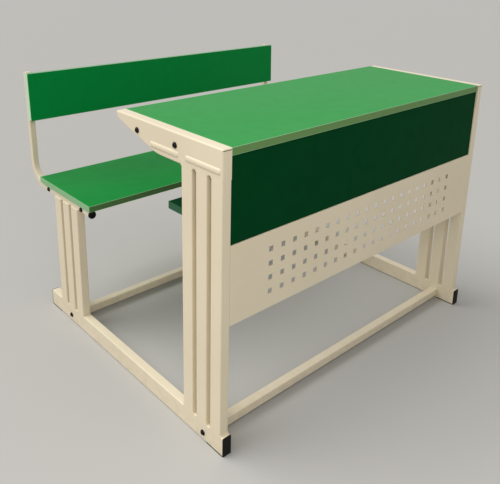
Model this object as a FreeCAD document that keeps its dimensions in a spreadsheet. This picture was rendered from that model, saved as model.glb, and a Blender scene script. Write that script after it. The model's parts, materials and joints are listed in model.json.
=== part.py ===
import FreeCAD, Part
import math
import os
import Sketcher

Vector = FreeCAD.Vector
Rotation = FreeCAD.Rotation

doc = FreeCAD.newDocument("ClassroomDesk")

# Driving dimensions, lengths in millimetres, the lean and the bead's taper in degrees.
# Setbacks are measured from the front of the desk legs, heights from the floor.
SIZES = {
    # the whole desk, over the outer faces of its side frames
    "overall_width": 1050,
    "desk_height": 760,
    # tubes of the side frames
    "tube_across": 25,
    "tube_corner": 2.5,
    "leg_depth": 38,
    "leg_gap": 14,
    "leg_wall": 1.6,
    "rail_height": 50,
    "rail_wall": 2,
    "rail_front_reach": 9,
    "rail_rear_reach": 67,
    "seat_leg_setback": 657,
    "seat_frame_height": 407,
    # plastic caps on the rail ends and in the seat tubes
    "shoe_thickness": 1.5,
    "shoe_length": 60,
    "cap_head": 3,
    "cap_corner": 2,
    "cap_round": 1.2,
    "plug_length": 25,
    "plug_clearance": 0.2,
    "knob_radius": 11.5,
    "knob_head": 6,
    "knob_round": 2,
    "knob_dish_radius": 5.5,
    "knob_dish_depth": 1.5,
    # square tubes: the cross tubes, and a narrower tube for the bench and its cross tubes
    "square_side": 25,
    "seat_tube_side": 18,
    "square_wall": 1.5,
    "seat_front_reach": 67,
    "bend_setback": 81,
    "bend_radius": 62,
    "back_lean": 1.5,
    "post_run": 282,
    "post_plate": 1.5,
    "base_cross_front_setback": 64,
    "base_cross_rear_setback": 77,
    "base_cross_lift": 9,
    "desk_cross_front_gap": 22.5,
    "desk_cross_rear_inset": 96.5,
    "seat_cross_front_reach": 22,
    "seat_cross_rear_reach": 44,
    "nut_plug_length": 15,
    # box arms under the ends of the writing top
    "arm_height": 70,
    "arm_length": 413,
    "arm_nose": 20,
    "arm_nose_rake": 9,
    "arm_taper_run": 161,
    "arm_sheet": 2,
    "arm_heel_radius": 150,
    "arm_nose_radius": 14,
    "arm_tip_radius": 4,
    "arm_front_radius": 3,
    "arm_edge_radius": 4,
    "arm_seam_drop": 3.5,
    "arm_seam_width": 1.2,
    "arm_seam_depth": 1,
    "bead_stand": 3,
    "bead_taper": 45,
    "bead_round": 8,
    "bead_depth": 15,
    "bead_lift": 12,
    "bead_front_inset": 6,
    "bead_break_front": 15,
    "bead_break_rear": 10,
    "bead_rear_inset": 150,
    # boards and their edging
    "board_thickness": 18,
    "board_corner": 2.5,
    "board_gap": 0.5,
    "edging": 1,
    "edging_round": 0.4,
    "top_rear_inset": 5,
    "seat_overhang": 10,
    "seat_rear_reach": 15,
    "seat_relief_gap": 0.5,
    "backrest_height": 150,
    "modesty_height": 205,
    "modesty_recess": 4,
    "shelf_rise": 13,
    "shelf_depth": 208,
    # perforated front panel
    "panel_height": 198.5,
    "panel_depth": 24,
    "panel_sheet": 1.5,
    "panel_round": 2,
    "hole_side": 13.5,
    "hole_pitch_across": 39.6,
    "hole_pitch_up": 36.4,
    "hole_margin_across": 118,
    "hole_margin_up": 40,
    # angle cleats behind the front board and angle brackets under the shelf
    "cleat_leg": 20,
    "cleat_sheet": 2.5,
    "cleat_height": 40,
    "cleat_drop": 40,
    "cleat_shelf_gap": 9,
    "bracket_leg": 25,
    "bracket_sheet": 3,
    # bolts with a domed head
    "bolt_radius": 4,
    "bolt_bite": 12,
    "bolt_head_radius": 7.5,
    "bolt_head_height": 4.5,
    "bolt_head_rim": 1.5,
    "bolt_head_flat": 4.2,
    "bolt_head_round": 1,
    "bolt_end_radius": 3.2,
    "bolt_point": 1,
    "bolt_socket": 2.5,
    "bolt_socket_depth": 2.5,
    "bolt_slack": 0.5,
    "thread_slack": 0.1,
    "insert_wall": 1.5,
    "insert_length": 13,
    "back_bolt_drop": 58,
    "back_bolt_pitch": 74,
    # screws with a pan head
    "screw_radius": 2.1,
    "screw_bite": 12,
    "screw_head_radius": 4.2,
    "screw_head_height": 2.6,
    "screw_head_rim": 1,
    "screw_head_flat": 2.4,
    "screw_head_round": 0.6,
    "screw_end_radius": 0.4,
    "screw_point": 4,
    "screw_socket": 1.2,
    "screw_socket_depth": 1.4,
    "screw_slack": 0.3,
    "board_screw_pitch": 380,
    # how far every cut runs past the faces that it opens
    "cut_overrun": 2,
}

sheet = doc.addObject("Spreadsheet::Sheet", "Dim")
for row, (name, size) in enumerate(SIZES.items(), start=1):
    sheet.set("A%d" % row, name)
    sheet.set("B%d" % row, str(size))
    sheet.setAlias("B%d" % row, name)
doc.recompute()

# Share of the bead's depth that rounds each of its end corners, and least share of a tube's
# outer corner radius that its inner corner keeps
BEAD_END_SHARE = 0.45
INNER_CORNER_SHARE = 0.2

# Distance under which two places count as the same
SAME_PLACE = 1e-6

# Places that several pieces share, as formulas of the sheet
FRAME_X = "(Dim.overall_width / 2 - Dim.tube_across / 2)"
INNER_X = "(Dim.overall_width / 2 - Dim.tube_across)"
OUTER_X = "(Dim.overall_width / 2)"
LEG_GROUP = "(3 * Dim.leg_depth + 2 * Dim.leg_gap)"
RAIL_TOP = "(Dim.shoe_thickness + Dim.rail_height)"
ARM_BOTTOM = "(Dim.desk_height - Dim.arm_height)"
TOP_UNDERSIDE = "(Dim.desk_height - Dim.board_thickness)"
TOP_DEPTH = "(Dim.arm_length - Dim.top_rear_inset)"
SEAT_REST = "(Dim.seat_frame_height + Dim.seat_tube_side)"
SEAT_TUBE_FRONT = "(Dim.seat_leg_setback - Dim.seat_front_reach)"
PANEL_TOP = f"({TOP_UNDERSIDE} - Dim.modesty_height)"
SHELF_UNDERSIDE = f"({PANEL_TOP} + Dim.shelf_rise)"
MODESTY_REAR = "(Dim.modesty_recess + Dim.board_thickness)"
INSIDE_WIDTH = "(Dim.overall_width - 2 * Dim.tube_across - 2 * Dim.board_gap)"
BEND_Y = f"(Dim.seat_leg_setback + {LEG_GROUP} + Dim.bend_setback)"
BEND_Z = f"({SEAT_REST} + Dim.bend_radius)"
BEND_OUTER = "(Dim.bend_radius + Dim.seat_tube_side)"
BEND_MIDDLE = "(Dim.bend_radius + Dim.seat_tube_side / 2)"

# Heights and setbacks of the cross tubes' centres
BASE_CROSS_Z = "(Dim.base_cross_lift + Dim.square_side / 2)"
DESK_CROSS_Z = f"({TOP_UNDERSIDE} - Dim.square_side / 2)"
SEAT_CROSS_Z = "(Dim.seat_frame_height + Dim.seat_tube_side / 2)"
BASE_CROSS_Y = {
    "front": "Dim.base_cross_front_setback",
    "rear": "(Dim.seat_leg_setback + Dim.base_cross_rear_setback)",
}
DESK_CROSS_Y = {
    "front": f"({LEG_GROUP} + Dim.desk_cross_front_gap)",
    "rear": "(Dim.arm_length - Dim.desk_cross_rear_inset)",
}
SEAT_CROSS_Y = {
    "front": "(Dim.seat_leg_setback - Dim.seat_cross_front_reach)",
    "rear": f"(Dim.seat_leg_setback + {LEG_GROUP} + Dim.seat_cross_rear_reach)",
}


def on_post(radius, run):
    """Setback and height on the leaning post, on the face that this bend radius leads to."""
    y = f"({BEND_Y} + {radius} * cos(Dim.back_lean) + {run} * sin(Dim.back_lean))"
    z = f"({BEND_Z} - {radius} * sin(Dim.back_lean) + {run} * cos(Dim.back_lean))"
    return y, z


# The origin lies under the middle of the part, between the front foot caps and whatever on
# the posts stands furthest back: their closing plates or the heads of the backrest's bolts.
FRONT_REACH = "(Dim.rail_front_reach + Dim.cap_head)"
PLATE_REACH = on_post(BEND_OUTER, "(Dim.post_run + Dim.post_plate)")[0]
BACK_BOLT_RUNS = [
    "(Dim.post_run - Dim.back_bolt_drop)",
    "(Dim.post_run - Dim.back_bolt_drop - Dim.back_bolt_pitch)",
]
HEAD_CENTRE = on_post(f"({BEND_OUTER} + Dim.bolt_head_height)", BACK_BOLT_RUNS[0])[0]
HEAD_REACH = f"({HEAD_CENTRE} + Dim.bolt_head_flat * sin(Dim.back_lean))"
MIDDLE_Y = f"((max({PLATE_REACH}; {HEAD_REACH}) - {FRONT_REACH}) / 2)"

SIDES = {"left": "-1", "right": "1"}
UP = Vector(0, 0, 1)
LEAN = float(sheet.get("back_lean"))
REARWARD = Rotation(Vector(1, 0, 0), -LEAN).multVec(Vector(0, 1, 0))
nodes = {}


def value(formula):
    """Number that a formula of the sheet's sizes gives."""
    return float(sheet.evalExpression(formula))


def place(piece, x, y, z, rotation=Rotation()):
    """Put a piece at formulas for its place, with the setback counted from the desk legs."""
    piece.Placement.Rotation = rotation
    piece.setExpression("Placement.Base.x", x)
    piece.setExpression("Placement.Base.y", f"({y}) - {MIDDLE_Y}")
    piece.setExpression("Placement.Base.z", z)


def new_body(label):
    """Body of one sub-part, which is written to a file under its label."""
    body = doc.addObject("PartDesign::Body", label)
    body.Label = label
    nodes[label] = body
    return body


def new_sketch(body, role, lift="0"):
    """Empty sketch on one of a body's own planes, lifted off it along its normal."""
    sketch = body.newObject("Sketcher::SketchObject", "Sketch")
    plane = next(item for item in body.Origin.OriginFeatures if item.Role == role)
    sketch.AttachmentSupport = [(plane, "")]
    sketch.MapMode = "FlatFace"
    sketch.setExpression("AttachmentOffset.Base.z", lift)
    return sketch


def hold(sketch, kind, place_of, formula):
    """Dimension of a sketch, bound to a formula of the sheet."""
    index = sketch.addConstraint(Sketcher.Constraint(kind, *place_of, value(formula)))
    sketch.setExpression(f"Constraints[{index}]", formula)


def outline(sketch, corners):
    """Closed outline through corners given as (across, up, radius); radius "0" stays sharp."""
    points = [Vector(value(across), value(up), 0) for across, up, _ in corners]
    radii = [value(radius) for _, _, radius in corners]
    count = len(corners)
    arrive, leave, middle = [], [], []
    for index, here in enumerate(points):
        back = (points[index - 1] - here).normalize()
        onward = (points[(index + 1) % count] - here).normalize()
        half_turn = back.getAngle(onward) / 2
        tangent = radii[index] / math.tan(half_turn)
        arrive.append(here + back * tangent)
        leave.append(here + onward * tangent)
        middle.append(here + (back + onward).normalize() * (radii[index] / math.sin(half_turn)))
    lines = []
    for index in range(count):
        edge = Part.LineSegment(leave[index], arrive[(index + 1) % count])
        lines.append(sketch.addGeometry(edge, False))
    for index, (across, up, radius) in enumerate(corners):
        before, after = lines[index - 1], lines[index]
        if radii[index] == 0:
            sketch.addConstraint(Sketcher.Constraint("Coincident", before, 2, after, 1))
            corner = after
        else:
            corner = sketch.addGeometry(Part.Point(points[index]), True)
            sketch.addConstraint(Sketcher.Constraint("PointOnObject", corner, 1, before))
            sketch.addConstraint(Sketcher.Constraint("PointOnObject", corner, 1, after))
            first, last = arrive[index] - middle[index], leave[index] - middle[index]
            start, end = 1, 2
            if first.cross(last).z < 0:
                first, last = last, first
                start, end = end, start
            circle = Part.Circle(middle[index], UP, radii[index])
            arc = Part.ArcOfCircle(circle, math.atan2(first.y, first.x), math.atan2(last.y, last.x))
            round_corner = sketch.addGeometry(arc, False)
            sketch.addConstraint(Sketcher.Constraint("Tangent", before, 2, round_corner, start))
            sketch.addConstraint(Sketcher.Constraint("Tangent", round_corner, end, after, 1))
            hold(sketch, "Radius", (round_corner,), radius)
        hold(sketch, "DistanceX", (-1, 1, corner, 1), across)
        hold(sketch, "DistanceY", (-1, 1, corner, 1), up)


def rectangle(sketch, low_across, low_up, high_across, high_up, radius="0"):
    """Rectangle between two corners, with rounded corners if it has a radius."""
    outline(sketch, [
        (low_across, low_up, radius),
        (high_across, low_up, radius),
        (high_across, high_up, radius),
        (low_across, high_up, radius),
    ])


def centred_rectangle(sketch, width, height, radius="0"):
    """Rectangle about the sketch's origin."""
    half_width, half_height = f"({width}) / 2", f"({height}) / 2"
    rectangle(sketch, f"-{half_width}", f"-{half_height}", half_width, half_height, radius)


def circles(sketch, radius, places):
    """Circles of one radius at places given as (across, up)."""
    for across, up in places:
        centre = Vector(value(across), value(up), 0)
        hole = sketch.addGeometry(Part.Circle(centre, UP, value(radius)), False)
        hold(sketch, "DistanceX", (-1, 1, hole, 3), across)
        hold(sketch, "DistanceY", (-1, 1, hole, 3), up)
        hold(sketch, "Radius", (hole,), radius)


def raise_pad(body, sketch, length, backwards=False):
    """Material raised from a sketch along its normal, or against it."""
    pad = body.newObject("PartDesign::Pad", "Pad")
    pad.Profile = sketch
    pad.Reversed = backwards
    pad.setExpression("Length", length)
    doc.recompute()
    return pad


def cut_pocket(body, sketch, length, forwards=False, both_ways=False):
    """Cut from a sketch against its normal, along it, or to both sides of it."""
    before = body.Shape.Volume
    pocket = body.newObject("PartDesign::Pocket", "Pocket")
    pocket.Profile = sketch
    pocket.Reversed = forwards
    pocket.Midplane = both_ways
    pocket.setExpression("Length", length)
    doc.recompute()
    if not body.Shape.Volume < before:
        raise RuntimeError(body.Label + ": a pocket cuts nothing")
    return pocket


def round_edges(body, radius, chosen):
    """Fillet on the edges of a body that a test chooses."""
    base = body.Tip
    names = [f"Edge{n}" for n, edge in enumerate(base.Shape.Edges, start=1) if chosen(edge)]
    fillet = body.newObject("PartDesign::Fillet", "Fillet")
    fillet.Base = (base, names)
    fillet.setExpression("Radius", radius)
    doc.recompute()


def edges_at(axis, formula):
    """Test for edges that lie wholly in a plane across an axis of the body."""
    level = value(formula)

    def chosen(edge):
        ends = edge.BoundBox
        low, high = getattr(ends, axis + "Min"), getattr(ends, axis + "Max")
        return abs(low - level) < SAME_PLACE and abs(high - level) < SAME_PLACE

    return chosen


def mirrored(label, source):
    """Mirror image of a left-hand piece on the right-hand side."""
    image = doc.addObject("Part::Mirroring", label)
    image.Label = label
    image.Source = source
    image.Normal = Vector(1, 0, 0)
    nodes[label] = image


def group(label, pattern, places):
    """Identical pieces as one node: copies of a pattern at (x, y, z, rotation)."""
    copies = []
    for x, y, z, rotation in places:
        copy = doc.addObject("App::Link", label + "_copy")
        copy.LinkedObject = pattern
        place(copy, x, y, z, rotation)
        copies.append(copy)
    gathered = doc.addObject("Part::Compound", label)
    gathered.Label = label
    gathered.Links = copies
    nodes[label] = gathered


def pattern_body(label):
    """Body that is only copied into groups and has no file of its own."""
    body = new_body(label)
    del nodes[label]
    return body


# Straight tubes: a rounded hollow section raised along the tube's length.
# The section's width lies along X on a tube that runs up or rearwards, and along Z on one
# that runs across.
ALONG = {
    "x": Rotation(UP, Vector(1, 0, 0)),
    "y": Rotation(Vector(1, 0, 0), -90),
    "z": Rotation(),
}


def hollow_section(sketch, width, height, wall):
    centred_rectangle(sketch, width, height, "Dim.tube_corner")
    inner_corner = f"max(Dim.tube_corner - {wall}; {INNER_CORNER_SHARE} * Dim.tube_corner)"
    centred_rectangle(sketch, f"{width} - 2 * {wall}", f"{height} - 2 * {wall}", inner_corner)


def straight_tube(label, axis, width, height, wall, length, x, y, z):
    body = new_body(label)
    section = new_sketch(body, "XY_Plane")
    hollow_section(section, width, height, wall)
    raise_pad(body, section, length)
    place(body, x, y, z, ALONG[axis])
    return body


def holes_across(body, radius, across, places):
    """Round holes right through a piece along its own X axis, at (own Y, own Z)."""
    sketch = new_sketch(body, "YZ_Plane")
    circles(sketch, radius, places)
    cut_pocket(body, sketch, f"{across} + 2 * Dim.cut_overrun", both_ways=True)


# Base rails and the two groups of three legs on each rail
RAIL_LENGTH = f"(Dim.rail_front_reach + Dim.seat_leg_setback + {LEG_GROUP} + Dim.rail_rear_reach)"
RAIL_Z = "(Dim.shoe_thickness + Dim.rail_height / 2)"
LEG_ORDER = ["front", "middle", "rear"]
BOLT_HOLE = "(Dim.bolt_radius + Dim.bolt_slack)"
for side, sign in SIDES.items():
    frame_x = f"{sign} * {FRAME_X}"
    rail = straight_tube(
        f"base_rail_{side}", "y", "Dim.tube_across", "Dim.rail_height", "Dim.rail_wall",
        RAIL_LENGTH, frame_x, "-Dim.rail_front_reach", RAIL_Z,
    )
    bolt_drop = f"({RAIL_Z} - {BASE_CROSS_Z})"
    rail_bolts = [(bolt_drop, f"{y} + Dim.rail_front_reach") for y in BASE_CROSS_Y.values()]
    holes_across(rail, BOLT_HOLE, "Dim.tube_across", rail_bolts)
    for step, order in enumerate(LEG_ORDER):
        in_group = f"(Dim.leg_depth / 2 + {step} * (Dim.leg_depth + Dim.leg_gap))"
        straight_tube(
            f"desk_leg_{side}_{order}", "z", "Dim.tube_across", "Dim.leg_depth", "Dim.leg_wall",
            f"{ARM_BOTTOM} - {RAIL_TOP}", frame_x, in_group, RAIL_TOP,
        )
        straight_tube(
            f"seat_leg_{side}_{order}", "z", "Dim.tube_across", "Dim.leg_depth", "Dim.leg_wall",
            f"Dim.seat_frame_height - {RAIL_TOP}", frame_x,
            f"Dim.seat_leg_setback + {in_group}", RAIL_TOP,
        )


# Foot caps: a plug in the rail's end, a head over the end and a shoe under the rail.
# A cap is drawn with the rail's end at its origin, at floor level, and the rail behind it.
def foot_cap(label, x, y, rotation):
    body = new_body(label)
    half = "Dim.tube_across / 2"
    head = new_sketch(body, "XZ_Plane")
    rectangle(head, f"-{half}", "0", half, RAIL_TOP, "Dim.cap_corner")
    raise_pad(body, head, "Dim.cap_head")
    round_edges(body, "Dim.cap_round", edges_at("Y", "-Dim.cap_head"))
    inset = "(Dim.rail_wall + Dim.plug_clearance)"
    plug = new_sketch(body, "XZ_Plane")
    rectangle(
        plug, f"-({half} - {inset})", f"Dim.shoe_thickness + {inset}",
        f"{half} - {inset}", f"{RAIL_TOP} - {inset}",
    )
    raise_pad(body, plug, "Dim.plug_length", backwards=True)
    shoe = new_sketch(body, "XY_Plane")
    rectangle(shoe, f"-{half}", "0", half, "Dim.shoe_length")
    raise_pad(body, shoe, "Dim.shoe_thickness")
    place(body, x, y, "0", rotation)


RAIL_ENDS = {
    "front": ("-Dim.rail_front_reach", Rotation()),
    "rear": (f"{RAIL_LENGTH} - Dim.rail_front_reach", Rotation(UP, 180)),
}
for end, (rail_end, turn) in RAIL_ENDS.items():
    for side, sign in SIDES.items():
        foot_cap(f"foot_cap_{end}_{side}", f"{sign} * {FRAME_X}", rail_end, turn)


# Desk arms: a pressed box on top of the legs, deep over them and tapering to a raked nose,
# with a half-round bead pressed out along its lower edge, which breaks off at the back of the
# legs. A seam runs across the front end under the folded top. Drawn with its outer face at X = 0.
def arm_outline(sketch):
    outline(sketch, [
        ("0", "0", "0"),
        ("Dim.arm_length - Dim.arm_nose_rake - Dim.arm_taper_run", "0", "Dim.arm_heel_radius"),
        ("Dim.arm_length - Dim.arm_nose_rake", "Dim.arm_height - Dim.arm_nose", "Dim.arm_nose_radius"),
        ("Dim.arm_length", "Dim.arm_height", "Dim.arm_tip_radius"),
        ("0", "Dim.arm_height", "Dim.arm_front_radius"),
    ])


arm = new_body("desk_arm_left")
shell = new_sketch(arm, "YZ_Plane")
arm_outline(shell)
shell_pad = raise_pad(arm, shell, "Dim.tube_across - Dim.arm_sheet")
is_inner = edges_at("X", "Dim.tube_across - Dim.arm_sheet")
inner_face = [f"Face{n}" for n, face in enumerate(shell_pad.Shape.Faces, start=1) if is_inner(face)]
hollow = arm.newObject("PartDesign::Thickness", "Hollow")
hollow.Base = (shell_pad, inner_face)
hollow.Reversed = True
hollow.Join = "Intersection"
hollow.setExpression("Value", "Dim.arm_sheet")
doc.recompute()
cover = new_sketch(arm, "YZ_Plane", "Dim.tube_across - Dim.arm_sheet")
arm_outline(cover)
raise_pad(arm, cover, "Dim.arm_sheet")
round_edges(arm, "Dim.arm_edge_radius", edges_at("X", "0"))

BEAD_END = f"{BEAD_END_SHARE} * Dim.bead_depth"
BEAD_RUNS = [
    ("Dim.bead_front_inset", f"{LEG_GROUP} - Dim.bead_break_front"),
    (f"{LEG_GROUP} + Dim.bead_break_rear", "Dim.arm_length - Dim.bead_rear_inset"),
]
bead = new_sketch(arm, "YZ_Plane")
for bead_start, bead_end in BEAD_RUNS:
    rectangle(bead, bead_start, "Dim.bead_lift", bead_end, "Dim.bead_lift + Dim.bead_depth", BEAD_END)
bead_pad = raise_pad(arm, bead, "Dim.bead_stand", backwards=True)
bead_pad.setExpression("TaperAngle", "-Dim.bead_taper")
doc.recompute()
round_edges(arm, "Dim.bead_round", edges_at("X", "-Dim.bead_stand"))
seam = new_sketch(arm, "YZ_Plane")
SEAM_TOP = "(Dim.arm_height - Dim.arm_seam_drop)"
rectangle(seam, "-Dim.cut_overrun", f"{SEAM_TOP} - Dim.arm_seam_width", "Dim.arm_seam_depth", SEAM_TOP)
cut_pocket(arm, seam, "2 * Dim.tube_across + 2 * Dim.cut_overrun", both_ways=True)
arm_bolts = new_sketch(arm, "YZ_Plane")
circles(arm_bolts, BOLT_HOLE, [(y, f"{DESK_CROSS_Z} - {ARM_BOTTOM}") for y in DESK_CROSS_Y.values()])
cut_pocket(arm, arm_bolts, "2 * Dim.tube_across + 2 * Dim.cut_overrun", both_ways=True)
place(arm, f"-{OUTER_X}", "0", ARM_BOTTOM)
mirrored("desk_arm_right", arm)


# Seat and back tubes: one square tube each, level under the seat, bent up behind it and
# leaning back as the post of the backrest. Drawn from the middle of its front end.
BEND_START = f"({BEND_Y} - {SEAT_TUBE_FRONT})"
BEND_END = (
    f"({BEND_START} + {BEND_MIDDLE} * cos(Dim.back_lean))",
    f"({BEND_MIDDLE} - {BEND_MIDDLE} * sin(Dim.back_lean))",
)
POST_END = (
    f"{BEND_END[0]} + Dim.post_run * sin(Dim.back_lean)",
    f"{BEND_END[1]} + Dim.post_run * cos(Dim.back_lean)",
)


def seat_path(sketch):
    """Open path: a level run, a tangent bend and the leaning post."""
    front = Vector(0, 0, 0)
    start = Vector(value(BEND_START), 0, 0)
    end = Vector(value(BEND_END[0]), value(BEND_END[1]), 0)
    top = Vector(value(POST_END[0]), value(POST_END[1]), 0)
    centre = start + Vector(0, value(BEND_MIDDLE), 0)
    circle = Part.Circle(centre, UP, value(BEND_MIDDLE))
    sweep = math.atan2(end.y - centre.y, end.x - centre.x)
    level = sketch.addGeometry(Part.LineSegment(front, start), False)
    bend = sketch.addGeometry(Part.ArcOfCircle(circle, -math.pi / 2, sweep), False)
    post = sketch.addGeometry(Part.LineSegment(end, top), False)
    sketch.addConstraint(Sketcher.Constraint("Coincident", -1, 1, level, 1))
    sketch.addConstraint(Sketcher.Constraint("Horizontal", level))
    sketch.addConstraint(Sketcher.Constraint("Tangent", level, 2, bend, 1))
    sketch.addConstraint(Sketcher.Constraint("Tangent", bend, 2, post, 1))
    hold(sketch, "DistanceX", (-1, 1, level, 2), BEND_START)
    hold(sketch, "Radius", (bend,), BEND_MIDDLE)
    hold(sketch, "DistanceX", (-1, 1, post, 2), POST_END[0])
    hold(sketch, "DistanceY", (-1, 1, post, 2), POST_END[1])


KNOB_PLACE = ("0", "Dim.seat_tube_side / 2 - Dim.plug_clearance - Dim.knob_radius")
for side, sign in SIDES.items():
    tube = new_body(f"seat_back_tube_{side}")
    path = new_sketch(tube, "YZ_Plane")
    seat_path(path)
    section = new_sketch(tube, "XZ_Plane")
    hollow_section(section, "Dim.seat_tube_side", "Dim.seat_tube_side", "Dim.square_wall")
    doc.recompute()
    pipe = tube.newObject("PartDesign::AdditivePipe", "Bent")
    pipe.Profile = section
    pipe.Spine = (path, [])
    doc.recompute()
    seat_bolts = [(f"{y} - {SEAT_TUBE_FRONT}", "0") for y in SEAT_CROSS_Y.values()]
    holes_across(tube, BOLT_HOLE, "Dim.seat_tube_side", seat_bolts)
    for run in BACK_BOLT_RUNS:
        y, z = on_post("(Dim.bend_radius - Dim.cut_overrun)", run)
        hole = tube.newObject("PartDesign::SubtractiveCylinder", "BackHole")
        hole.Placement.Rotation = Rotation(UP, REARWARD)
        hole.setExpression("Placement.Base.y", f"{y} - {SEAT_TUBE_FRONT}")
        hole.setExpression("Placement.Base.z", f"{z} - {SEAT_CROSS_Z}")
        hole.setExpression("Radius", BOLT_HOLE)
        hole.setExpression("Height", "Dim.seat_tube_side + 2 * Dim.cut_overrun")
        doc.recompute()
    place(tube, f"{sign} * {FRAME_X}", SEAT_TUBE_FRONT, SEAT_CROSS_Z)

    # Plug in the front end of the tube: a flange over the end, with a round dished knob on it
    # that clears the seat above
    cap = new_body(f"seat_tube_cap_{side}")
    knob = new_sketch(cap, "XZ_Plane")
    circles(knob, "Dim.knob_radius", [KNOB_PLACE])
    raise_pad(cap, knob, "Dim.knob_head")
    round_edges(cap, "Dim.knob_round", edges_at("Y", "-Dim.knob_head"))
    dish = new_sketch(cap, "XZ_Plane", "Dim.knob_head")
    circles(dish, "Dim.knob_dish_radius", [KNOB_PLACE])
    cut_pocket(cap, dish, "Dim.knob_dish_depth")
    flange = new_sketch(cap, "XZ_Plane")
    centred_rectangle(flange, "Dim.seat_tube_side", "Dim.seat_tube_side", "Dim.tube_corner")
    raise_pad(cap, flange, "Dim.cap_head")
    plug = new_sketch(cap, "XZ_Plane")
    plug_side = "(Dim.seat_tube_side - 2 * (Dim.square_wall + Dim.plug_clearance))"
    centred_rectangle(plug, plug_side, plug_side)
    raise_pad(cap, plug, "Dim.plug_length", backwards=True)
    place(cap, f"{sign} * {FRAME_X}", SEAT_TUBE_FRONT, SEAT_CROSS_Z)

    # Plate welded over the upper end of the post
    plate = new_body(f"post_plate_{side}")
    blank = new_sketch(plate, "XY_Plane")
    centred_rectangle(blank, "Dim.seat_tube_side", "Dim.seat_tube_side", "Dim.tube_corner")
    raise_pad(plate, blank, "Dim.post_plate")
    y, z = on_post(BEND_MIDDLE, "Dim.post_run")
    place(plate, f"{sign} * {FRAME_X}", y, z, Rotation(Vector(1, 0, 0), -LEAN))


# Cross tubes between the side frames, with a threaded plug in each end for the frame bolts.
# The tubes under the writing top and the seat have holes for the screws that come up through
# them into the boards. Each level: setbacks, height, side of the tube, and across the member
# of the side frame that the bolts pass through.
BOARD_SCREW_X = ["-Dim.board_screw_pitch", "0", "Dim.board_screw_pitch"]
CROSS_TUBES = {
    "base": (BASE_CROSS_Y, BASE_CROSS_Z, "Dim.square_side", "Dim.tube_across"),
    "desk": (DESK_CROSS_Y, DESK_CROSS_Z, "Dim.square_side", "Dim.tube_across"),
    "seat": (SEAT_CROSS_Y, SEAT_CROSS_Z, "Dim.seat_tube_side", "Dim.seat_tube_side"),
}
INWARD = {side: Rotation(UP, Vector(-float(sign), 0, 0)) for side, sign in SIDES.items()}
OUTWARD = {side: Rotation(UP, Vector(float(sign), 0, 0)) for side, sign in SIDES.items()}
for level, (setbacks, height, tube_side, through) in CROSS_TUBES.items():
    reach = f"({FRAME_X} - {through} / 2)"
    for row, setback in setbacks.items():
        tube = straight_tube(
            f"{level}_cross_tube_{row}", "x", tube_side, tube_side, "Dim.square_wall",
            f"2 * {reach}", f"-{reach}", setback, height,
        )
        if level != "base":
            screw_holes = [("0", f"{reach} + {x}") for x in BOARD_SCREW_X]
            screw_hole = "Dim.screw_radius + Dim.screw_slack"
            holes_across(tube, screw_hole, tube_side, screw_holes)
    nut_plug = pattern_body(f"{level}_plug_pattern")
    blank = new_sketch(nut_plug, "XY_Plane")
    plug_side = f"({tube_side} - 2 * Dim.square_wall - 2 * Dim.plug_clearance)"
    centred_rectangle(blank, plug_side, plug_side)
    circles(blank, "Dim.bolt_radius + Dim.thread_slack", [("0", "0")])
    raise_pad(nut_plug, blank, "Dim.nut_plug_length")
    group(f"{level}_threaded_plugs", nut_plug, [
        (f"{sign} * {reach}", setback, height, INWARD[side])
        for setback in setbacks.values()
        for side, sign in SIDES.items()
    ])


# Bolts and screws: turned about their axis, head up, with the underside of the head at zero
def fastener(kind, length):
    body = pattern_body(f"{kind}_pattern")
    profile = new_sketch(body, "XZ_Plane")
    outline(profile, [
        ("0", f"-({length})", "0"),
        (f"Dim.{kind}_end_radius", f"-({length})", "0"),
        (f"Dim.{kind}_radius", f"Dim.{kind}_point - ({length})", "0"),
        (f"Dim.{kind}_radius", "0", "0"),
        (f"Dim.{kind}_head_radius", "0", "0"),
        (f"Dim.{kind}_head_radius", f"Dim.{kind}_head_rim", f"Dim.{kind}_head_round"),
        (f"Dim.{kind}_head_flat", f"Dim.{kind}_head_height", f"Dim.{kind}_head_round"),
        ("0", f"Dim.{kind}_head_height", "0"),
    ])
    turned = body.newObject("PartDesign::Revolution", "Turned")
    turned.Profile = profile
    turned.ReferenceAxis = (profile, ["V_Axis"])
    turned.Angle = 360
    doc.recompute()
    socket = new_sketch(body, "XY_Plane", f"Dim.{kind}_head_height")
    corner_radius = f"Dim.{kind}_socket / cos(30)"
    outline(socket, [
        (f"{corner_radius} * cos({turn})", f"{corner_radius} * sin({turn})", "0")
        for turn in range(0, 360, 60)
    ])
    cut_pocket(body, socket, f"Dim.{kind}_socket_depth")
    return body


for level, (setbacks, height, _, through) in CROSS_TUBES.items():
    group(f"{level}_bolts", fastener("bolt", f"{through} + Dim.bolt_bite"), [
        (f"{sign} * ({FRAME_X} + {through} / 2)", setback, height, OUTWARD[side])
        for setback in setbacks.values()
        for side, sign in SIDES.items()
    ])
BACK_BOLTS = [on_post(BEND_OUTER, run) for run in BACK_BOLT_RUNS]
group("backrest_bolts", fastener("bolt", "Dim.seat_tube_side + Dim.bolt_bite"), [
    (f"{sign} * {FRAME_X}", y, z, Rotation(UP, REARWARD))
    for y, z in BACK_BOLTS
    for sign in SIDES.values()
])
DOWN = Rotation(Vector(1, 0, 0), 180)
for level, board in (("desk", "desk_top"), ("seat", "seat")):
    setbacks, height, tube_side, _ = CROSS_TUBES[level]
    group(f"{board}_screws", fastener("screw", f"{tube_side} + Dim.screw_bite"), [
        (x, setback, f"{height} - {tube_side} / 2", DOWN)
        for setback in setbacks.values()
        for x in BOARD_SCREW_X
    ])


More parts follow.
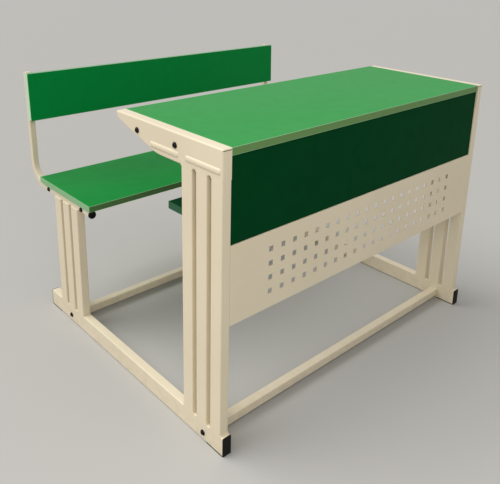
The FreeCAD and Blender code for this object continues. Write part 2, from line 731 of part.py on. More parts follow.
# Boards: a laminated panel inside a thin edging strip that runs all round it.
# A board is drawn flat about its middle, and holes open from its lower face.
def banded_board(label, width, depth, x, y, z, rotation=Rotation()):
    board = new_body(label)
    core = new_sketch(board, "XY_Plane")
    core_size = (f"{width} - 2 * Dim.edging", f"{depth} - 2 * Dim.edging")
    core_corner = "max(Dim.board_corner - Dim.edging; Dim.edging_round)"
    centred_rectangle(core, *core_size, core_corner)
    raise_pad(board, core, "Dim.board_thickness")
    place(board, x, y, z, rotation)
    strip = new_body(label + "_edging")
    ring = new_sketch(strip, "XY_Plane")
    centred_rectangle(ring, width, depth, "Dim.board_corner")
    centred_rectangle(ring, *core_size, core_corner)
    raise_pad(strip, ring, "Dim.board_thickness")
    core_reach_x, core_reach_y = [value(size) / 2 for size in core_size]
    is_low, is_high = edges_at("Z", "0"), edges_at("Z", "Dim.board_thickness")

    def is_outer_rim(edge):
        middle = edge.valueAt((edge.FirstParameter + edge.LastParameter) / 2)
        past_x = abs(middle.x) > core_reach_x + SAME_PLACE
        past_y = abs(middle.y) > core_reach_y + SAME_PLACE
        return (is_low(edge) or is_high(edge)) and (past_x or past_y)

    round_edges(strip, "Dim.edging_round", is_outer_rim)
    place(strip, x, y, z, rotation)
    return board, strip


def pilot_holes(board, radius, depth, places):
    """Blind holes from a board's lower face, at places from its middle."""
    sketch = new_sketch(board, "XY_Plane")
    circles(sketch, radius, places)
    cut_pocket(board, sketch, depth, forwards=True)


PILOT = "Dim.screw_radius + Dim.thread_slack"
PILOT_DEPTH = "Dim.screw_bite + Dim.screw_slack"

# Writing top, between the arms and flush with them, screwed down to its two cross tubes
TOP_MIDDLE = f"{TOP_DEPTH} / 2"
desk_top, _ = banded_board("desk_top", INSIDE_WIDTH, TOP_DEPTH, "0", TOP_MIDDLE, TOP_UNDERSIDE)
pilot_holes(desk_top, PILOT, PILOT_DEPTH, [
    (x, f"{setback} - {TOP_MIDDLE}") for setback in DESK_CROSS_Y.values() for x in BOARD_SCREW_X
])

# Seat, on its two cross tubes and the level runs of the bent tubes. Its rear corners are
# relieved from below where the tubes begin to rise.
SEAT_FRONT = f"({SEAT_TUBE_FRONT} - Dim.seat_overhang)"
SEAT_DEPTH = f"({BEND_Y} + Dim.seat_rear_reach - {SEAT_FRONT})"
SEAT_MIDDLE = f"({SEAT_FRONT} + {SEAT_DEPTH} / 2)"
SEAT_RISE = "(Dim.bend_radius - sqrt(Dim.bend_radius ^ 2 - Dim.seat_rear_reach ^ 2))"
seat, seat_edging = banded_board("seat", "Dim.overall_width", SEAT_DEPTH, "0", SEAT_MIDDLE, SEAT_REST)
pilot_holes(seat, PILOT, PILOT_DEPTH, [
    (x, f"{setback} - {SEAT_MIDDLE}") for setback in SEAT_CROSS_Y.values() for x in BOARD_SCREW_X
])
for piece in (seat, seat_edging):
    relief = new_sketch(piece, "XY_Plane")
    relief_inner = f"({FRAME_X} - Dim.seat_tube_side / 2 - Dim.seat_relief_gap)"
    relief_outer = f"({OUTER_X} + Dim.cut_overrun)"
    relief_front = f"({SEAT_DEPTH} / 2 - Dim.seat_rear_reach)"
    relief_rear = f"({SEAT_DEPTH} / 2 + Dim.cut_overrun)"
    rectangle(relief, f"-{relief_outer}", relief_front, f"-{relief_inner}", relief_rear)
    rectangle(relief, relief_inner, relief_front, relief_outer, relief_rear)
    cut_pocket(piece, relief, f"{SEAT_RISE} + Dim.seat_relief_gap", forwards=True)

# Backrest, in front of the posts, bolted through them into threaded inserts
BACKREST_RUN = "(Dim.post_run - Dim.backrest_height / 2)"
backrest_y, backrest_z = on_post("Dim.bend_radius", BACKREST_RUN)
backrest, _ = banded_board(
    "backrest", "Dim.overall_width", "Dim.backrest_height", "0", backrest_y, backrest_z,
    Rotation(Vector(1, 0, 0), 90 - LEAN),
)
INSERT_RADIUS = "Dim.bolt_radius + Dim.thread_slack + Dim.insert_wall"
INSERT_HOLE = f"{INSERT_RADIUS} + Dim.thread_slack"
pilot_holes(backrest, INSERT_HOLE, "Dim.insert_length", [
    (f"{sign} * {FRAME_X}", f"{run} - {BACKREST_RUN}")
    for run in BACK_BOLT_RUNS
    for sign in SIDES.values()
])
insert = pattern_body("insert_pattern")
sleeve = new_sketch(insert, "XY_Plane")
circles(sleeve, INSERT_RADIUS, [("0", "0")])
circles(sleeve, "Dim.bolt_radius + Dim.thread_slack", [("0", "0")])
raise_pad(insert, sleeve, "Dim.insert_length")
group("backrest_inserts", insert, [
    (f"{sign} * {FRAME_X}", *on_post("Dim.bend_radius", run), Rotation(UP, -REARWARD))
    for run in BACK_BOLT_RUNS
    for sign in SIDES.values()
])

# Front board: it stands on the perforated panel and reaches up to the writing top
UPRIGHT_BOARD = Rotation(Vector(1, 0, 0), 90)
MODESTY_MIDDLE = f"({PANEL_TOP} + Dim.modesty_height / 2)"
modesty, _ = banded_board(
    "modesty_board", INSIDE_WIDTH, "Dim.modesty_height", "0", MODESTY_REAR, MODESTY_MIDDLE, UPRIGHT_BOARD,
)

# Cleats: short angles welded to the front legs, above the shelf and below the writing top,
# which the front board is screwed to from behind. Drawn for the left side with the corner of
# the angle at the origin.
SHELF_TOP = f"({SHELF_UNDERSIDE} + Dim.board_thickness)"
CLEAT_Z = [
    f"({SHELF_TOP} + Dim.cleat_shelf_gap + Dim.cleat_height / 2)",
    f"({TOP_UNDERSIDE} - Dim.cleat_drop - Dim.cleat_height / 2)",
]
CLEAT_SCREW = "((Dim.cleat_leg + Dim.cleat_sheet) / 2)"


def angle_section(sketch, leg, thickness):
    """L section with its outer corner at the origin."""
    outline(sketch, [
        ("0", "0", "0"),
        (leg, "0", "0"),
        (leg, thickness, "0"),
        (thickness, thickness, "0"),
        (thickness, leg, "0"),
        ("0", leg, "0"),
    ])


cleat = pattern_body("cleat_pattern")
cleat_section = new_sketch(cleat, "XY_Plane", "-Dim.cleat_height / 2")
angle_section(cleat_section, "Dim.cleat_leg", "Dim.cleat_sheet")
raise_pad(cleat, cleat_section, "Dim.cleat_height")
cleat_hole = new_sketch(cleat, "XZ_Plane")
circles(cleat_hole, "Dim.screw_radius + Dim.screw_slack", [(CLEAT_SCREW, "0")])
cut_pocket(cleat, cleat_hole, "2 * Dim.cleat_sheet + 2 * Dim.cut_overrun", both_ways=True)
CLEAT_TURN = {"left": Rotation(), "right": Rotation(Vector(0, 1, 0), 180)}
group("modesty_cleats", cleat, [
    (f"{sign} * {INNER_X}", MODESTY_REAR, z, CLEAT_TURN[side])
    for z in CLEAT_Z
    for side, sign in SIDES.items()
])
pilot_holes(modesty, PILOT, PILOT_DEPTH, [
    (f"{sign} * ({INNER_X} - {CLEAT_SCREW})", f"{z} - {MODESTY_MIDDLE}")
    for z in CLEAT_Z
    for sign in SIDES.values()
])

# Shelf for books behind the front board, on two angle brackets welded to the legs
SHELF_FRONT = f"({MODESTY_REAR} + Dim.board_gap)"
SHELF_MIDDLE = f"({SHELF_FRONT} + Dim.shelf_depth / 2)"
shelf, _ = banded_board("book_shelf", INSIDE_WIDTH, "Dim.shelf_depth", "0", SHELF_MIDDLE, SHELF_UNDERSIDE)
BRACKET_FRONT = "(Dim.leg_depth + Dim.leg_gap)"
BRACKET_LENGTH = "(2 * Dim.leg_depth + Dim.leg_gap)"
BRACKET_SCREW_X = f"({INNER_X} - (Dim.bracket_leg + Dim.bracket_sheet) / 2)"
BRACKET_SCREW_Y = [
    f"({BRACKET_FRONT} + Dim.leg_depth / 2)",
    f"({BRACKET_FRONT} + Dim.leg_depth * 3 / 2 + Dim.leg_gap)",
]
bracket = new_body("shelf_bracket_left")
bracket_section = new_sketch(bracket, "XZ_Plane")
outline(bracket_section, [
    ("0", "0", "0"),
    ("0", "-Dim.bracket_leg", "0"),
    ("Dim.bracket_sheet", "-Dim.bracket_leg", "0"),
    ("Dim.bracket_sheet", "-Dim.bracket_sheet", "0"),
    ("Dim.bracket_leg", "-Dim.bracket_sheet", "0"),
    ("Dim.bracket_leg", "0", "0"),
])
raise_pad(bracket, bracket_section, BRACKET_LENGTH, backwards=True)
bracket_holes = new_sketch(bracket, "XY_Plane")
circles(bracket_holes, "Dim.screw_radius + Dim.screw_slack", [
    (f"{INNER_X} - {BRACKET_SCREW_X}", f"{y} - {BRACKET_FRONT}") for y in BRACKET_SCREW_Y
])
cut_pocket(bracket, bracket_holes, "2 * Dim.bracket_sheet + 2 * Dim.cut_overrun", both_ways=True)
place(bracket, f"-{INNER_X}", BRACKET_FRONT, SHELF_UNDERSIDE)
mirrored("shelf_bracket_right", bracket)
pilot_holes(shelf, PILOT, PILOT_DEPTH, [
    (f"{sign} * {BRACKET_SCREW_X}", f"{y} - {SHELF_MIDDLE}")
    for y in BRACKET_SCREW_Y
    for sign in SIDES.values()
])

# Short screws through the cleats and the brackets
cleat_screw = fastener("screw", "Dim.cleat_sheet + Dim.screw_bite")
group("modesty_screws", cleat_screw, [
    (f"{sign} * ({INNER_X} - {CLEAT_SCREW})", f"{MODESTY_REAR} + Dim.cleat_sheet", z,
     Rotation(UP, Vector(0, 1, 0)))
    for z in CLEAT_Z
    for sign in SIDES.values()
])
bracket_screw = fastener("screw", "Dim.bracket_sheet + Dim.screw_bite")
group("shelf_screws", bracket_screw, [
    (f"{sign} * {BRACKET_SCREW_X}", y, f"{SHELF_UNDERSIDE} - Dim.bracket_sheet", DOWN)
    for y in BRACKET_SCREW_Y
    for sign in SIDES.values()
])


# Perforated panel: a shallow steel tray, open to the rear, welded between the front legs.
# Its rows of square holes are centred on it, as many as its margins leave room for.
panel = new_body("perforated_panel")
PANEL_WIDTH = f"(2 * {INNER_X})"
face = new_sketch(panel, "XZ_Plane")
centred_rectangle(face, PANEL_WIDTH, "Dim.panel_height")
raise_pad(panel, face, "Dim.panel_depth", backwards=True)
round_edges(panel, "Dim.panel_round", edges_at("Y", "0"))
tray = new_sketch(panel, "XZ_Plane", "-Dim.panel_depth")
centred_rectangle(
    tray, f"{PANEL_WIDTH} - 2 * Dim.panel_sheet", "Dim.panel_height - 2 * Dim.panel_sheet"
)
cut_pocket(panel, tray, "Dim.panel_depth - Dim.panel_sheet", forwards=True)
columns = math.floor(value(f"({PANEL_WIDTH} - 2 * Dim.hole_margin_across) / Dim.hole_pitch_across"))
rows = math.floor(value("(Dim.panel_height - 2 * Dim.hole_margin_up) / Dim.hole_pitch_up"))
hole = new_sketch(panel, "XZ_Plane")
first_across = f"-({columns} * Dim.hole_pitch_across / 2)"
first_up = f"-({rows} * Dim.hole_pitch_up / 2)"
rectangle(
    hole, f"{first_across} - Dim.hole_side / 2", f"{first_up} - Dim.hole_side / 2",
    f"{first_across} + Dim.hole_side / 2", f"{first_up} + Dim.hole_side / 2",
)
punch = cut_pocket(panel, hole, "2 * Dim.panel_sheet + 2 * Dim.cut_overrun", both_ways=True)
punched = panel.newObject("PartDesign::MultiTransform", "Punched")
punched.Originals = [punch]
PATTERNS = [
    ("H_Axis", columns, "Dim.hole_pitch_across"),
    ("V_Axis", rows, "Dim.hole_pitch_up"),
]
steps = []
for direction, count, pitch in PATTERNS:
    pattern = panel.newObject("PartDesign::LinearPattern", "Row")
    pattern.Direction = (hole, [direction])
    pattern.Occurrences = count + 1
    pattern.setExpression("Length", f"{count} * {pitch}")
    steps.append(pattern)
punched.Transformations = steps
panel.Tip = punched
place(panel, "0", "0", f"{PANEL_TOP} - Dim.panel_height / 2")

doc.recompute()
for item in doc.Objects:
    if "Invalid" in item.State or "Error" in item.State:
        raise RuntimeError(f"{item.Label} failed: {item.State}")
for label, item in nodes.items():
    if item.Shape.isNull() or not item.Shape.isValid():
        raise RuntimeError(f"{label} has no valid shape")

os.makedirs("parts", exist_ok=True)
for label, item in nodes.items():
    item.Shape.exportStep(f"parts/{label}.step")
    print(label, len(item.Shape.Solids), "solids", round(item.Shape.Volume, 1), "mm3")
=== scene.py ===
import json
import math

import bmesh
import bpy
from mathutils import Matrix, Vector


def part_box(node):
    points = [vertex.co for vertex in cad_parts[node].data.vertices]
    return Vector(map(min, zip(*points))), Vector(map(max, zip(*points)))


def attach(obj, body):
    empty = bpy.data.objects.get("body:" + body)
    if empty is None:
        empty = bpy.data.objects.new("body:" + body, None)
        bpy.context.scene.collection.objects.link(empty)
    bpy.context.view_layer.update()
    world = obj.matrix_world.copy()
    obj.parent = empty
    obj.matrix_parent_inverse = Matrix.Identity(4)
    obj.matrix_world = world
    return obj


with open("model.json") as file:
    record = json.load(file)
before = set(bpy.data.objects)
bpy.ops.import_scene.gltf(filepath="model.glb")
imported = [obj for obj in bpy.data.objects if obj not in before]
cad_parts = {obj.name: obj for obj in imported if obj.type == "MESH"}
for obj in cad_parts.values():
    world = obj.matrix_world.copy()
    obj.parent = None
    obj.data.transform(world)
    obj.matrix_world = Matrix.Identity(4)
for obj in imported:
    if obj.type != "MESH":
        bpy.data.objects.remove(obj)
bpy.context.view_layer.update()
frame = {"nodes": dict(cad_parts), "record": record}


# Steel frame: base rails, legs, pressed box arms, bent seat tubes, cross tubes and small angles.
# Mild steel tube and sheet, welded into two side frames that are bolted to the cross tubes, and
# powder coated cream. The coat has a faint orange peel, and a little grime close to the floor.
class Value:
    """Socket of a shader that takes part in arithmetic: each operator adds a Math node."""

    def __init__(self, finish, socket):
        self.finish = finish
        self.socket = socket

    def math(self, operation, first, second):
        return self.finish.node("ShaderNodeMath", {"operation": operation}, {0: first, 1: second})

    def __add__(self, other):
        return self.math("ADD", self, other)

    def __radd__(self, other):
        return self.math("ADD", other, self)

    def __sub__(self, other):
        return self.math("SUBTRACT", self, other)

    def __rsub__(self, other):
        return self.math("SUBTRACT", other, self)

    def __mul__(self, other):
        return self.math("MULTIPLY", self, other)

    def __rmul__(self, other):
        return self.math("MULTIPLY", other, self)


class Finish:
    """Material round one Principled shader, whose even values are set when it is made."""

    def __init__(self, name, even):
        self.material = bpy.data.materials.new(name)
        self.material.use_nodes = True
        self.tree = self.material.node_tree
        self.shader = self.tree.nodes["Principled BSDF"]
        for socket, value in even.items():
            self.shader.inputs[socket].default_value = value
        self.place = self.node("ShaderNodeTexCoord", {}, {}, "Object")

    def feed(self, socket, value):
        if isinstance(value, Value):
            self.tree.links.new(value.socket, socket)
        else:
            socket.default_value = value

    def node(self, kind, settings, sockets, output=0):
        """Any node: its settings first, then the values or links of its sockets."""
        made = self.tree.nodes.new(kind)
        for name, setting in settings.items():
            setattr(made, name, setting)
        for name, value in sockets.items():
            self.feed(made.inputs[name], value)
        return Value(self, made.outputs[output])

    def along(self, axis):
        """Distance from the object's origin along X, Y or Z, in metres."""
        return self.node("ShaderNodeSeparateXYZ", {}, {0: self.place}, axis)

    def grain(self, size, stretch=(1, 1, 1), detail=2):
        """Noise with lumps of this size in metres, drawn out along the axes by stretch."""
        scale = [1 / (size * share) for share in stretch]
        spread = self.node("ShaderNodeMapping", {}, {"Vector": self.place, "Scale": scale})
        return self.node("ShaderNodeTexNoise", {}, {"Vector": spread, "Scale": 1, "Detail": detail})

    def between(self, value, low, high):
        """Share from 0 at low to 1 at high."""
        limits = {"Value": value, "From Min": low, "From Max": high}
        return self.node("ShaderNodeMapRange", {"clamp": True}, limits)

    def mix(self, share, first, second):
        """Colour that goes from first to second as share goes from 0 to 1."""
        return self.node("ShaderNodeMix", {"data_type": "RGBA"}, {0: share, 6: first, 7: second}, 2)

    def finish(self, tint, roughness, height, depth):
        """Feed the shader; height is turned into a relief this deep, in metres."""
        full = {"Strength": 1, "Distance": depth, "Height": height}
        relief = self.node("ShaderNodeBump", {}, full)
        self.feed(self.shader.inputs["Base Color"], tint)
        self.feed(self.shader.inputs["Roughness"], roughness)
        self.feed(self.shader.inputs["Normal"], relief)
        return self.material


def colour(*levels):
    """Colour as it is written for a screen, 0 to 255, as the shader's own light levels."""
    linear = []
    for level in levels:
        share = level / 255
        linear.append(share / 12.92 if share <= 0.04045 else ((share + 0.055) / 1.055) ** 2.4)
    return (*linear, 1)


def nodes_of(slot):
    """CAD nodes that take their finish from one of the record's material slots."""
    parts = frame["record"]["subparts"]
    return [frame["nodes"][part["node"]] for part in parts if part["material_slot"] == slot]


def dress(pieces, material):
    """Give pieces one material in place of those they have."""
    for piece in pieces:
        piece.data.materials.clear()
        piece.data.materials.append(material)


CREAM = colour(231, 217, 189)
DEEPER_CREAM = colour(227, 213, 184)
GRIME = colour(168, 158, 138)
DRIFT_SIZE = 0.18
PEEL_SIZE = 0.0022
SPECK_SIZE = 0.0006
PEEL_DEPTH = 0.00012
GRIME_SIZE = 0.025
GRIME_HEIGHT = 0.06
GRIME_MOST = 0.3


def powder_coat(name, painted_shade=None):
    """Cream coat; the function given second, where there is one, paints shade onto its colour."""
    coat = Finish(name, {"IOR": 1.5, "Specular IOR Level": 0.5})
    drift = coat.grain(DRIFT_SIZE, detail=3)
    peel = coat.grain(PEEL_SIZE)
    speck = coat.grain(SPECK_SIZE)
    near_floor = 1 - coat.between(coat.along("Z"), 0, GRIME_HEIGHT)
    smears = coat.between(coat.grain(GRIME_SIZE, detail=5), 0.42, 0.72)
    grime = near_floor * smears * GRIME_MOST
    cream = coat.mix(coat.between(drift, 0.3, 0.7), CREAM, DEEPER_CREAM)
    grime_and_seam_shade = coat.mix(grime, cream, GRIME)
    if painted_shade:
        grime_and_seam_shade = painted_shade(coat, grime_and_seam_shade)
    roughness = 0.28 + 0.08 * drift + 0.2 * grime
    return coat.finish(grime_and_seam_shade, roughness, 0.8 * peel + 0.2 * speck, PEEL_DEPTH)


cream_coat = powder_coat("cream_powder_coat")
dress(nodes_of("frame_paint"), cream_coat)


# Desk arms: boxes pressed from steel sheet, whose folded top laps over the front end. The seam
# under the lap is painted dark brown, a painted shade in it.
SEAM_SHADE_COLOUR = colour(118, 97, 64)
SEAM_DROP = 0.0041
SEAM_DEPTH = 0.001
SEAM_SHADE_REACH = 0.0011


# Painted shade: the seam line under the top's lap at each arm's front is painted dark brown.
def painted_seam_shade(coat, paint):
    low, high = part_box("desk_arm_left")
    rise = coat.along("Z") - (high.z - SEAM_DROP)
    at_front = 1 - coat.between(coat.along("Y"), low.y + SEAM_DEPTH, low.y + 2 * SEAM_DEPTH)
    in_seam = 1 - coat.between(rise * rise, (SEAM_SHADE_REACH / 2) ** 2, SEAM_SHADE_REACH ** 2)
    return coat.mix(at_front * in_seam, paint, SEAM_SHADE_COLOUR)


arms = [frame["nodes"]["desk_arm_" + side] for side in ("left", "right")]
dress(arms, powder_coat("arm_powder_coat", painted_seam_shade))


# Weld runs: the legs are welded to the rails below, and to the arms or bent tubes above.
# A run goes round each joint. It stands up in the corners, and is ground nearly flush where the
# two faces lie in one plane. It lies under the same cream coat.
RUN_RADIUS = 0.0023
RUN_SEGMENTS = 8
RIPPLE_PITCH = 0.0021
RIPPLE_SHARE = 0.16
FLUSH_INSET = 0.0019
FLUSH_SINK = 0.0009
TUBE_CORNER = 0.0025


def weld_run(runs, start, end):
    """Round bar between two points, with rings drawn in between the ripples of the weld."""
    along = end - start
    turn = along.to_track_quat("Z", "Y").to_matrix().to_4x4()
    bar = bmesh.new()
    bmesh.ops.create_cone(
        bar, cap_ends=True, segments=RUN_SEGMENTS, radius1=RUN_RADIUS, radius2=RUN_RADIUS,
        depth=along.length, matrix=Matrix.Translation((start + end) / 2) @ turn,
    )
    ripples = round(along.length / RIPPLE_PITCH)
    long_edges = [edge for edge in bar.edges if edge.calc_length() > along.length / 2]
    bmesh.ops.subdivide_edges(bar, edges=long_edges, cuts=2 * ripples - 1, use_grid_fill=True)
    for vertex in bar.verts:
        share = (vertex.co - start).dot(along) / along.length_squared
        centre = start + along * share
        drawn_in = RIPPLE_SHARE * math.cos(math.pi * ripples * share) ** 2
        vertex.co = centre + (vertex.co - centre) * (1 - drawn_in)
    single = bpy.data.meshes.new("weld_run")
    bar.to_mesh(single)
    bar.free()
    runs.from_mesh(single)
    bpy.data.meshes.remove(single)


def joint_runs(runs, near, far, joint, up, flush):
    """Runs round one end of a leg, between two corners; flush names the sides ground down.

    A run that is ground down stops short of the tube's rounded corners.
    """
    sides = {
        "front": ((near.x, near.y), (far.x, near.y), (0, 1)),
        "rear": ((near.x, far.y), (far.x, far.y), (0, -1)),
        "left": ((near.x, near.y), (near.x, far.y), (1, 0)),
        "right": ((far.x, near.y), (far.x, far.y), (-1, 0)),
    }
    for side, (start, end, inward) in sides.items():
        first, last = Vector((*start, joint)), Vector((*end, joint))
        if side in flush:
            sunk = Vector((*inward, 0)) * FLUSH_INSET + Vector((0, 0, up * FLUSH_SINK))
            short = (last - first).normalized() * TUBE_CORNER
            first, last = first + sunk + short, last + sunk - short
        weld_run(runs, first, last)


welds = bmesh.new()
for name in frame["nodes"]:
    if "_leg_" not in name:
        continue
    low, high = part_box(name)
    joint_runs(welds, low, high, low.z, -1, ("left", "right"))
    if name.startswith("desk"):
        flush = ("left", "right", "front") if name.endswith("front") else ("left", "right")
        joint_runs(welds, low, high, high.z, 1, flush)
    else:
        tube_low, tube_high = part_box("seat_back_tube_" + name.split("_")[2])
        near = Vector((tube_low.x - FLUSH_SINK, low.y, 0))
        far = Vector((tube_high.x + FLUSH_SINK, high.y, 0))
        joint_runs(welds, near, far, high.z, 1, ())
weld_mesh = bpy.data.meshes.new("weld_runs")
welds.to_mesh(weld_mesh)
welds.free()
weld_mesh.shade_smooth()
weld_runs = bpy.data.objects.new("weld_runs", weld_mesh)
bpy.context.scene.collection.objects.link(weld_runs)
dress([weld_runs], cream_coat)
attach(weld_runs, "root")


# Foot caps and knobs: black polypropylene mouldings pushed into the ends of the rails and into the
# front ends of the bent seat tubes. A fine spark-eroded grain, with some floor dust on the shoes.
MOULDING_BLACK = colour(6, 6, 6)
WORN_BLACK = colour(12, 12, 12)
DUST = colour(112, 106, 96)
SPARK_SIZE = 0.0011
SPARK_DEPTH = 0.00018
DUST_SIZE = 0.009
DUST_HEIGHT = 0.01
DUST_MOST = 0.25


def black_moulding():
    plastic = Finish("black_moulded_plastic", {"IOR": 1.48, "Specular IOR Level": 0.2})
    spark = plastic.grain(SPARK_SIZE, detail=3)
    near_floor = 1 - plastic.between(plastic.along("Z"), 0, DUST_HEIGHT)
    dust = near_floor * plastic.between(plastic.grain(DUST_SIZE, detail=4), 0.45, 0.7) * DUST_MOST
    black = plastic.mix(plastic.between(spark, 0.35, 0.7), MOULDING_BLACK, WORN_BLACK)
    dusty = plastic.mix(dust, black, DUST)
    return plastic.finish(dusty, 0.46 + 0.12 * spark + 0.2 * dust, spark, SPARK_DEPTH)


dress(nodes_of("black_plastic"), black_moulding())


# Boards: chipboard faced with high-pressure laminate, green on the writing top, seat and
# backrest, and a darker green on the front board and the shelf. The face has a fine suede
# stipple, a hardly visible mottle in the print, and soft wipe marks along the board.
MOTTLE_SIZE = 0.035
FLECK_SIZE = 0.0035
SUEDE_SIZE = 0.0009
SUEDE_DEPTH = 0.00006
WIPE_SIZE = 0.03


def laminate(slot, gloss, face, deeper):
    board = Finish(slot, {"IOR": 1.5, "Specular IOR Level": gloss})
    mottle = board.grain(MOTTLE_SIZE, detail=5)
    flecks = board.grain(FLECK_SIZE, (2, 1, 1), detail=3)
    suede = board.grain(SUEDE_SIZE)
    wipes = board.grain(WIPE_SIZE, (8, 3, 3), detail=3)
    tone = 0.65 * mottle + 0.35 * flecks
    print_colour = board.mix(board.between(tone, 0.3, 0.7), face, deeper)
    roughness = 0.36 + 0.06 * wipes + 0.04 * mottle
    dress(nodes_of(slot), board.finish(print_colour, roughness, suede, SUEDE_DEPTH))


# The writing top, seat and backrest share one green laminate. The top's paler tint is painted sheen
# and light, and the seat's deeper tint is painted shade from the desk over it.
laminate("top_laminate", 0.26, colour(23, 146, 57), colour(19, 140, 53))
laminate("seat_laminate", 0.08, colour(4, 134, 52), colour(2, 128, 47))
laminate("back_laminate", 0.06, colour(5, 139, 63), colour(3, 133, 58))
laminate("dark_laminate", 0.015, colour(1, 64, 31), colour(1, 59, 28))


# Edging: a strip of plastic 1 mm thick, hot-glued round every board and trimmed flush.
# It is olive green along the boards, and paler at their ends. On the top and seat its top and
# bottom rims are painted pale, a painted highlight. On the front board and the shelf it is dark
# green. The knife leaves faint lines.
MINT = colour(143, 190, 140)
PALE_MINT = colour(202, 234, 202)
FRONT_BOARD_GREEN = colour(3, 58, 27)
SHELF_GREEN = colour(34, 87, 58)
KNIFE_LINE = colour(40, 60, 34)
END_STRIP = 0.0012
RIM_HIGHLIGHT_BAND = 0.0013
LINE_SIZE = 0.0008
LINE_DEPTH = 0.00008
LINE_STRETCH = 60
LINE_MOST = 0.14
WEAR_SIZE = 0.05


def edging(board, face, end_and_rim_tint, across):
    """Strip round a board, whose knife lines lie side by side across the named axis; across Z, its
    top and bottom rims get a painted highlight.
    """
    name = board + "_edging"
    low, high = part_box(name)
    strip = Finish(name, {"IOR": 1.5, "Specular IOR Level": 0.25})
    stretch = [1 if axis == across else LINE_STRETCH for axis in "XYZ"]
    lines = strip.grain(LINE_SIZE, stretch, detail=3)
    wear = strip.grain(WEAR_SIZE, detail=3)
    x = strip.along("X")
    end = high.x - END_STRIP
    at_end = strip.between(x * x, end ** 2, (end + END_STRIP / 4) ** 2)
    plain = strip.mix(at_end, face, end_and_rim_tint)
    # Painted highlight: where the knife lines run across Z, the strip's top and bottom rims take
    # the end tint.
    if across == "Z":
        rise = strip.along("Z") - (low.z + high.z) / 2
        highlight_rim_edge = (high.z - low.z) / 2 - RIM_HIGHLIGHT_BAND
        rim_highlight_mask = strip.between(rise * rise, highlight_rim_edge ** 2, (highlight_rim_edge + RIM_HIGHLIGHT_BAND / 2) ** 2)
        plain = strip.mix(rim_highlight_mask, plain, end_and_rim_tint)
    lined = strip.between(0.6 * lines + 0.4 * wear, 0.35, 0.65) * LINE_MOST
    knife_lines_and_rim_highlight = strip.mix(lined, plain, KNIFE_LINE)
    dress([frame["nodes"][name]], strip.finish(knife_lines_and_rim_highlight, 0.4 + 0.14 * lines, lines, LINE_DEPTH))


edging("desk_top", colour(104, 143, 82), MINT, "Z")
edging("seat", colour(76, 116, 62), MINT, "Z")
edging("backrest", colour(142, 182, 146), PALE_MINT, "Y")
edging("modesty_board", FRONT_BOARD_GREEN, FRONT_BOARD_GREEN, "Y")
edging("book_shelf", SHELF_GREEN, SHELF_GREEN, "Z")


# Frame bolts: domed socket-head bolts of blackened steel. They hold the cross tubes between the
# side frames, and the backrest to its posts.
BOLT_BLACK = colour(8, 8, 8)
BLOOM_BROWN = colour(20, 19, 18)
BLOOM_SIZE = 0.004
PIT_SIZE = 0.0005
PIT_DEPTH = 0.00005


def blackened_steel():
    steel = Finish("blackened_steel", {"Metallic": 0.3, "Specular IOR Level": 0.3})
    bloom = steel.grain(BLOOM_SIZE, detail=4)
    pits = steel.grain(PIT_SIZE)
    black = steel.mix(steel.between(bloom, 0.35, 0.7), BOLT_BLACK, BLOOM_BROWN)
    return steel.finish(black, 0.32 + 0.2 * bloom, pits, PIT_DEPTH)


dress(nodes_of("black_bolt"), blackened_steel())


# Hidden steel: screws, threaded plugs in the cross tubes and inserts in the backrest. They are
# mild steel, zinc plated, with a faint spangle and fine scratches.
ZINC = colour(186, 188, 190)
DULL_ZINC = colour(164, 166, 168)
SPANGLE_SIZE = 0.003
SCRATCH_SIZE = 0.0006
SCRATCH_DEPTH = 0.00004


def zinc_plate():
    zinc = Finish("zinc_plate", {"Metallic": 1})
    spangle = zinc.grain(SPANGLE_SIZE, detail=4)
    scratches = zinc.grain(SCRATCH_SIZE, (1, 6, 6))
    tone = zinc.mix(zinc.between(spangle, 0.35, 0.65), ZINC, DULL_ZINC)
    return zinc.finish(tone, 0.28 + 0.2 * spangle, scratches, SCRATCH_DEPTH)


dress(nodes_of("plain_steel"), zinc_plate())


# Studio: a plain pale floor that runs out of sight, under an even sky and a broad soft light from
# high behind the desk's left side. A weak one stands near its front left corner, which is a little
# brighter for it. What lies past the floor is as pale as the floor.
FLOOR_GREY = colour(180, 178, 173)
FLOOR_REACH = 60
SKY_LIGHT = 0.512
BACKDROP_LIGHT = 0.54
KEY_STRENGTH = 2.16
KEY_ANGLE = math.radians(50)
KEY_FROM = Vector((-0.4, 0.35, 0.85))
FILL_PLACE = Vector((-1.3, -1.5, 1.8))
FILL_AIM = Vector((-0.4, -0.4, 0.4))
FILL_SIZE = 0.8
FILL_POWER = 9.1

floor_finish = Finish("pale_floor", {"Roughness": 0.7, "Base Color": FLOOR_GREY})
slab = bmesh.new()
bmesh.ops.create_grid(slab, x_segments=1, y_segments=1, size=FLOOR_REACH)
floor_mesh = bpy.data.meshes.new("floor")
slab.to_mesh(floor_mesh)
slab.free()
floor = bpy.data.objects.new("floor", floor_mesh)
bpy.context.scene.collection.objects.link(floor)
dress([floor], floor_finish.material)

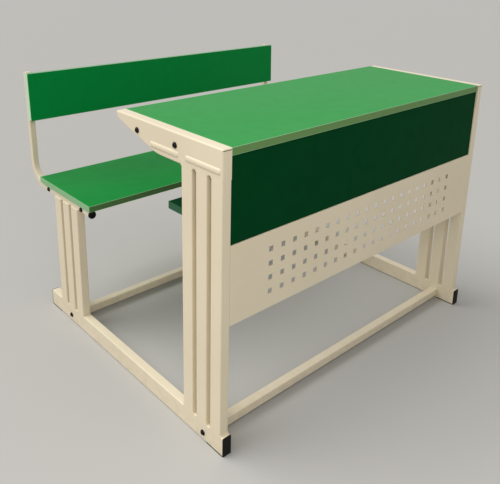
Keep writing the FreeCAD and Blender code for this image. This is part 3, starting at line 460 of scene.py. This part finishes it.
# The camera, and rays off gloss or through glass, see the backdrop's level, and the rest the sky's.
sky = bpy.data.worlds.new("studio")
sky.use_nodes = True
bpy.context.scene.world = sky
background = sky.node_tree.nodes["Background"]
background.inputs["Color"].default_value = (1, 1, 1, 1)
rays = sky.node_tree.nodes.new("ShaderNodeLightPath")
strength = sky.node_tree.nodes.new("ShaderNodeMapRange")
strength.inputs["To Min"].default_value = SKY_LIGHT
strength.inputs["To Max"].default_value = BACKDROP_LIGHT
seen = rays.outputs["Is Camera Ray"]
for kind in ("Is Glossy Ray", "Is Transmission Ray"):
    either = sky.node_tree.nodes.new("ShaderNodeMath")
    either.operation = "MAXIMUM"
    sky.node_tree.links.new(seen, either.inputs[0])
    sky.node_tree.links.new(rays.outputs[kind], either.inputs[1])
    seen = either.outputs[0]
sky.node_tree.links.new(seen, strength.inputs["Value"])
sky.node_tree.links.new(strength.outputs["Result"], background.inputs["Strength"])

key = bpy.data.lights.new("key", "SUN")
key.energy = KEY_STRENGTH
key.angle = KEY_ANGLE
key_lamp = bpy.data.objects.new("key", key)
key_lamp.rotation_mode = "QUATERNION"
key_lamp.rotation_quaternion = KEY_FROM.to_track_quat("Z", "Y")
bpy.context.scene.collection.objects.link(key_lamp)

fill = bpy.data.lights.new("fill", "AREA")
fill.shape = "DISK"
fill.size = FILL_SIZE
fill.energy = FILL_POWER
fill_lamp = bpy.data.objects.new("fill", fill)
fill_lamp.location = FILL_PLACE
fill_lamp.rotation_mode = "QUATERNION"
fill_lamp.rotation_quaternion = (FILL_PLACE - FILL_AIM).to_track_quat("Z", "Y")
fill_lamp.visible_camera = False
bpy.context.scene.collection.objects.link(fill_lamp)


# Camera: where the photograph was taken from, worked out from the desk's edges in it. The shift
# stands for the photograph's crop.
CAMERA_PLACE = Vector((-1.30242, -1.39313, 1.14979))
CAMERA_AZIMUTH = math.radians(42.204)
CAMERA_DIP = math.radians(17.056)
CAMERA_ROLL = math.radians(1.139)
SENSOR_WIDTH = 36
FOCAL_LENGTH = 45.069
SHIFT_ACROSS = 0.0159
SHIFT_UP = -0.204

lens = bpy.data.cameras.new("camera")
lens.sensor_width = SENSOR_WIDTH
lens.lens = FOCAL_LENGTH
lens.shift_x = SHIFT_ACROSS
lens.shift_y = SHIFT_UP
camera = bpy.data.objects.new("camera", lens)
camera.matrix_world = (
    Matrix.Translation(CAMERA_PLACE)
    @ Matrix.Rotation(-CAMERA_AZIMUTH, 4, "Z")
    @ Matrix.Rotation(math.pi / 2 - CAMERA_DIP, 4, "X")
    @ Matrix.Rotation(CAMERA_ROLL, 4, "Z")
)
bpy.context.scene.collection.objects.link(camera)
bpy.context.scene.camera = camera
bpy.context.scene.view_settings.view_transform = "Standard"
